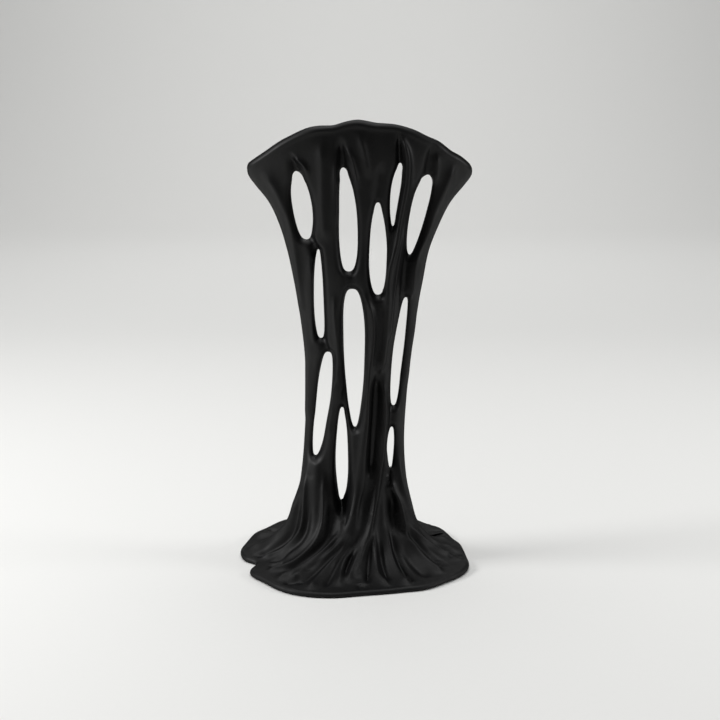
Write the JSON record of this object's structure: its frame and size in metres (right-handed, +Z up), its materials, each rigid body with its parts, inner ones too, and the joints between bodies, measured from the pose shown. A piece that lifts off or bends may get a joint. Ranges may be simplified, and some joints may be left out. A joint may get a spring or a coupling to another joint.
{
  "type": "openwork black clay sculpture",
  "caption": "Free-standing openwork fan of pinched clay coils rising from a round folded foot to an arched crown with a rolled rim.",
  "frame": {"origin": "middle of the foot's flat underside", "axes": "+Z up; the bowed front faces -Y; the fan spreads along X"},
  "size_m": [0.1858, 0.1852, 0.352],
  "materials": {
    "foot_clay": "black fired clay, satin from burnishing, matte in the folds",
    "coil_clay": "black fired clay, burnished along the coils to a satin sheen",
    "crown_clay": "black fired clay, satin, smoothed over the fan",
    "rim_clay": "black fired clay, the rim rubbed a little brighter"
  },
  "bodies": {
    "root": {"foot_slab": "foot_clay", "foot_core": "foot_clay", "skirt_front": "foot_clay", "skirt_front_left": "foot_clay", "skirt_back_left": "foot_clay", "skirt_back": "foot_clay", "skirt_back_right": "foot_clay", "skirt_front_right": "foot_clay", "left_edge_coil_lower": "coil_clay", "left_edge_coil_middle": "coil_clay", "left_edge_coil_upper": "coil_clay", "left_coil_lower": "coil_clay", "left_coil_middle": "coil_clay", "left_coil_upper": "coil_clay", "pinched_bridge": "coil_clay", "centre_coil_lower": "coil_clay", "centre_coil_middle": "coil_clay", "centre_coil_upper": "coil_clay", "dividing_coil": "coil_clay", "right_coil_lower": "coil_clay", "right_coil_middle": "coil_clay", "right_coil_upper": "coil_clay", "right_edge_coil_lower": "coil_clay", "right_edge_coil_middle": "coil_clay", "right_edge_coil_upper": "coil_clay", "crown_panel_left": "crown_clay", "crown_panel_centre_left": "crown_clay", "crown_panel_centre_right": "crown_clay", "crown_panel_right": "crown_clay", "rim_coil": "rim_clay"}
  },
  "joints": []
}
